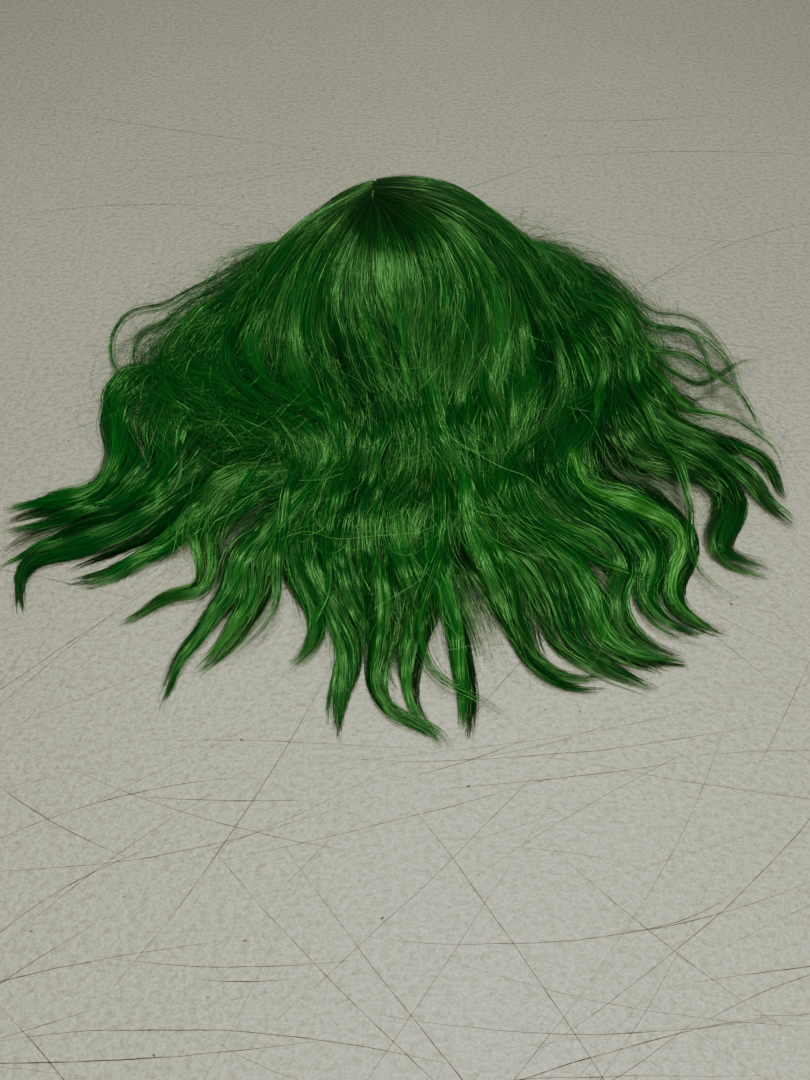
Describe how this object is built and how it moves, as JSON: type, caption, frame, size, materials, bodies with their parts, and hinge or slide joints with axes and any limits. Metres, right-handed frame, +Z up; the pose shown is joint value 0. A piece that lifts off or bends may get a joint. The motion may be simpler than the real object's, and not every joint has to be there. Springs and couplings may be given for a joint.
{
  "type": "costume wig",
  "caption": "Long wavy green costume wig lying face down, its stretch cap holding stitched weft rows, folding ear tabs and sliding size adjusters.",
  "frame": {"origin": "centre of the footprint, on the table", "axes": "+Z up from the table; +Y towards the front hairline; +X towards the right ear"},
  "size_m": [0.6512, 0.5628, 0.0946],
  "materials": {
    "hair_fibre": "silky synthetic fibre",
    "cap_net": "stretch mesh",
    "skin_sheet": "matte sheet",
    "weft_stitching": "stitched fibre header",
    "elastic": "woven elastic",
    "tab_fabric": "matte woven tape",
    "hook_plastic": "moulded",
    "stay_plastic": "bendable strip"
  },
  "bodies": {
    "cap": {"crown_closure": "skin_sheet", "crown_lock_1": "hair_fibre", "crown_lock_10": "hair_fibre", "crown_lock_11": "hair_fibre", "crown_lock_12": "hair_fibre", "crown_lock_2": "hair_fibre", "crown_lock_3": "hair_fibre", "crown_lock_4": "hair_fibre", "crown_lock_5": "hair_fibre", "crown_lock_6": "hair_fibre", "crown_lock_7": "hair_fibre", "crown_lock_8": "hair_fibre", "crown_lock_9": "hair_fibre", "crown_net": "cap_net", "front_band": "elastic", "left_adjuster_strap": "elastic", "left_front_lock": "hair_fibre", "left_hook_tape": "tab_fabric", "middle_lock_1": "hair_fibre", "middle_lock_2": "hair_fibre", "middle_lock_3": "hair_fibre", "middle_lock_4": "hair_fibre", "middle_lock_5": "hair_fibre", "middle_lock_6": "hair_fibre", "middle_lock_7": "hair_fibre", "middle_lock_8": "hair_fibre", "nape_band": "elastic", "nape_lock_1": "hair_fibre", "nape_lock_2": "hair_fibre", "nape_lock_3": "hair_fibre", "nape_lock_4": "hair_fibre", "nape_lock_5": "hair_fibre", "nape_lock_6": "hair_fibre", "nape_lock_7": "hair_fibre", "parting_skin": "skin_sheet", "rib_back_left": "elastic", "rib_back_right": "elastic", "rib_ear_left": "elastic", "rib_ear_right": "elastic", "rib_nape": "elastic", "right_adjuster_strap": "elastic", "right_front_lock": "hair_fibre", "right_hook_tape": "tab_fabric", "weft_row_1": "weft_stitching", "weft_row_2": "weft_stitching", "weft_row_3": "weft_stitching", "weft_row_4": "weft_stitching", "weft_row_5": "weft_stitching", "weft_row_6": "weft_stitching", "weft_row_7": "weft_stitching"},
    "left_ear_tab": {"left_ear_tab": "tab_fabric", "left_ear_stay": "stay_plastic"},
    "right_ear_tab": {"right_ear_tab": "tab_fabric", "right_ear_stay": "stay_plastic"},
    "left_adjuster": {"left_adjuster_hook": "hook_plastic"},
    "right_adjuster": {"right_adjuster_hook": "hook_plastic"}
  },
  "joints": [
    {"name": "left_ear_tab_fold", "type": "hinge", "parent": "cap", "child": "left_ear_tab", "pos_m": [-0.08438, 0.16338, 0.0228], "axis": [0, -1, 0], "range_deg": [0, 60]},
    {"name": "right_ear_tab_fold", "type": "hinge", "parent": "cap", "child": "right_ear_tab", "pos_m": [0.09342, 0.16338, 0.0228], "axis": [0, 1, 0], "range_deg": [0, 60]},
    {"name": "left_adjuster_travel", "type": "hinge", "parent": "cap", "child": "left_adjuster", "pos_m": [0.00452, 0.16338, 0.007], "axis": [0, 0, 1], "range_deg": [0, 15.63], "deforming": ["left_adjuster_strap"]},
    {"name": "right_adjuster_travel", "type": "hinge", "parent": "cap", "child": "right_adjuster", "pos_m": [0.00452, 0.16338, 0.007], "axis": [0, 0, -1], "range_deg": [0, 15.63], "deforming": ["right_adjuster_strap"]}
  ]
}
